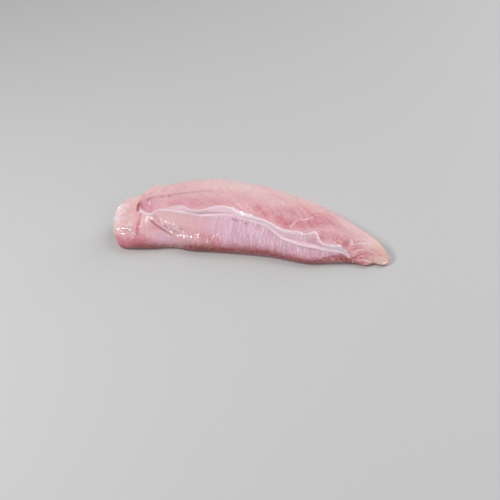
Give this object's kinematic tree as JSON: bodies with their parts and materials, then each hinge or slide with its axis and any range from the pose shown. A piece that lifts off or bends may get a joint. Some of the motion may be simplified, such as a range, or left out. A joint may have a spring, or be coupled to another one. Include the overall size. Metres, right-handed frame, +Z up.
{
  "type": "raw turkey breast fillet",
  "caption": "Raw boneless turkey breast fillet, a long tapering cut of pink meat with a blunt end, a thin tip and a torn white skin along its front.",
  "frame": {"origin": "middle of the bounding box in plan, at the height of the underside", "axes": "+X along the fillet from the blunt end to the thin tip, +Y from the skinned front to the rounded back, +Z up"},
  "size_m": [0.2546, 0.0866, 0.0376],
  "materials": {
    "meat": "raw pale pink poultry muscle, soft and moist, with a wet sheen",
    "skin": "thin lilac white connective skin, smooth and wet"
  },
  "bodies": {
    "root": {"fillet": "meat"}
  },
  "joints": []
}
